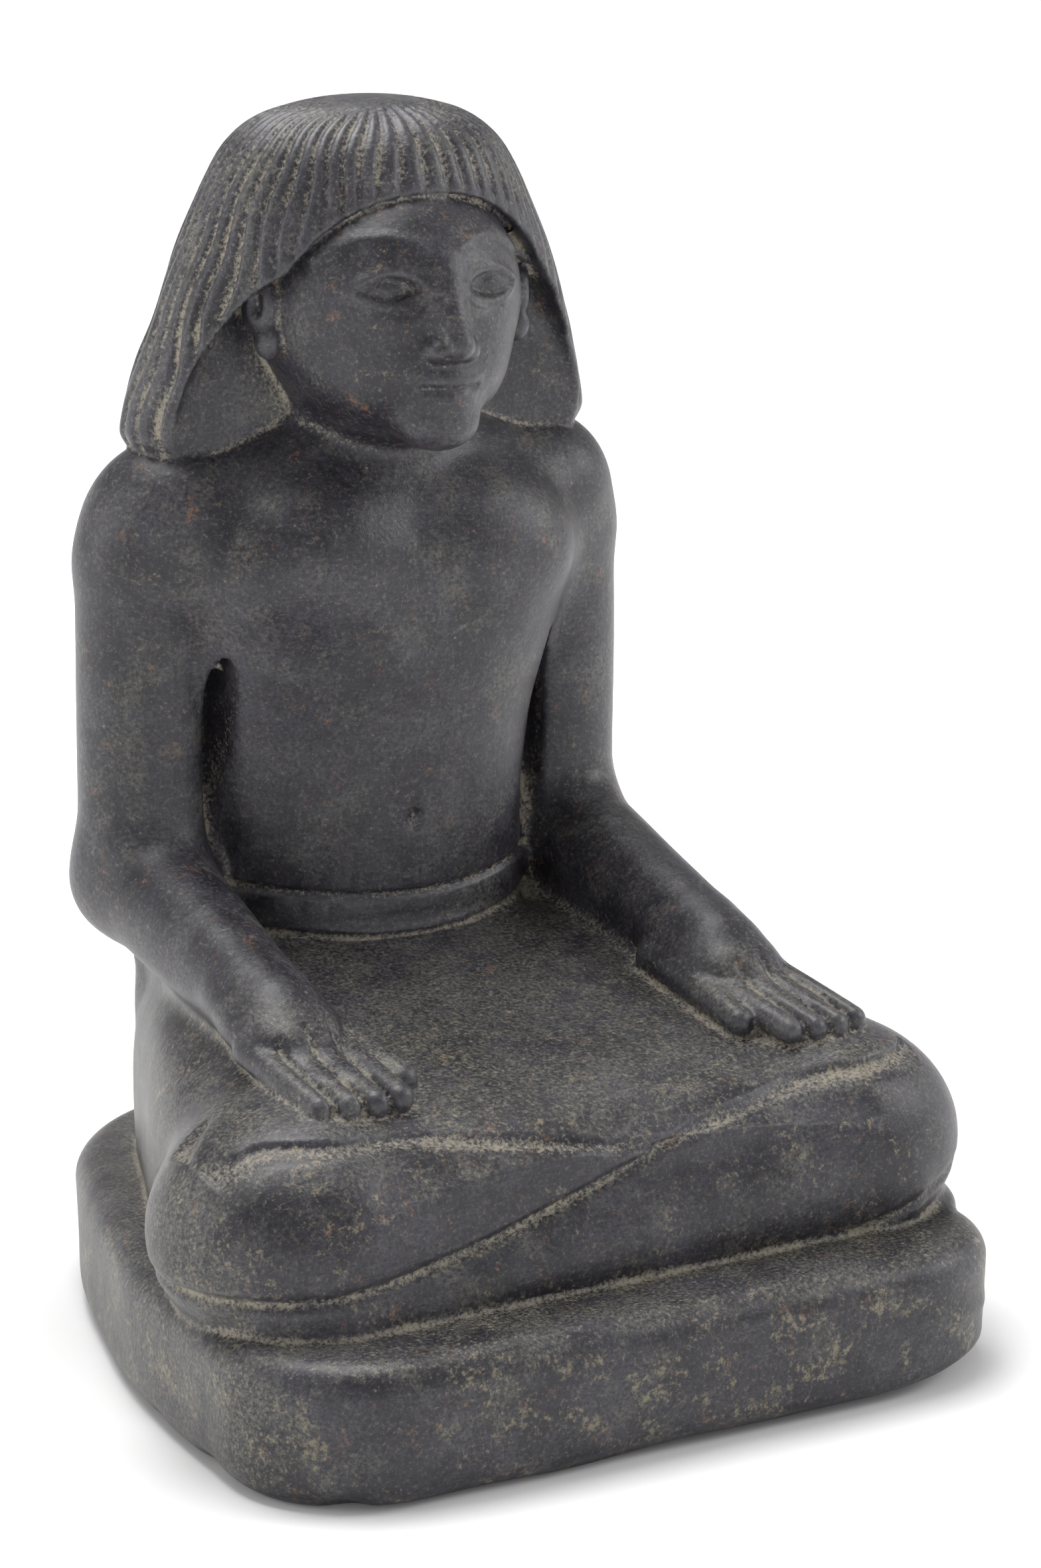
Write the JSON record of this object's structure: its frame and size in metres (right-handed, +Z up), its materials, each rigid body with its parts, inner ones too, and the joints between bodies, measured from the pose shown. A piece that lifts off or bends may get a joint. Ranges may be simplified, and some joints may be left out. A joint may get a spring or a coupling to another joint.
{
  "type": "seated scribe statue",
  "caption": "Dark stone statuette of a scribe sitting cross-legged on a low bowed base, wearing a striated wig and a long belted kilt, with both hands laid flat on the lap.",
  "frame": {"origin": "middle of the bounding box at the underside of the base", "axes": "+Z up; the face, hands and knees look along -Y; +X is the figure's left"},
  "size_m": [0.2139, 0.216, 0.3003],
  "materials": {
    "dark_stone": "satin, carved and hand-rubbed, speckled, with pale dust in the creases"
  },
  "bodies": {
    "root": {"scribe_statue": "dark_stone"}
  },
  "joints": []
}
